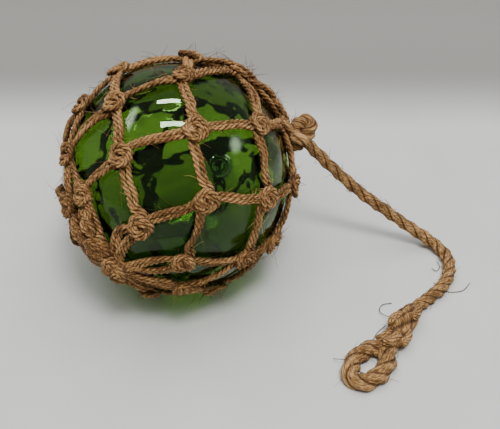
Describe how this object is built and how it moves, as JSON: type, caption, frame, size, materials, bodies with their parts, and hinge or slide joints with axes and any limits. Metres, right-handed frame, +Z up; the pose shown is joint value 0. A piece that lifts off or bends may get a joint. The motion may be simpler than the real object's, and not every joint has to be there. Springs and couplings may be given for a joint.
{
  "type": "glass float ball",
  "caption": "Sealed green glass float ball in a knotted rope net, with a hanging rope that lies down to a spliced eye.",
  "frame": {"origin": "on the table under the middle of the netted ball, leaving out the free rope and its lower eye", "axes": "+Z up from the table, +X towards the side that the hanging rope lies on, -Y towards the lower eye of the rope"},
  "size_m": [0.2821, 0.2084, 0.1657],
  "materials": {
    "green_glass": "smooth hand-blown bottle-green glass, see-through, with a soft wave to its surface",
    "net_cord": "three-strand laid manila cord, matte, with stray fibres",
    "hanging_rope": "three-strand laid manila rope, matte, with stray fibres"
  },
  "bodies": {
    "root": {"glass_ball": "green_glass", "rope_net": "net_cord", "head_eye": "hanging_rope", "hanging_rope": "hanging_rope", "lower_eye": "hanging_rope"}
  },
  "joints": []
}
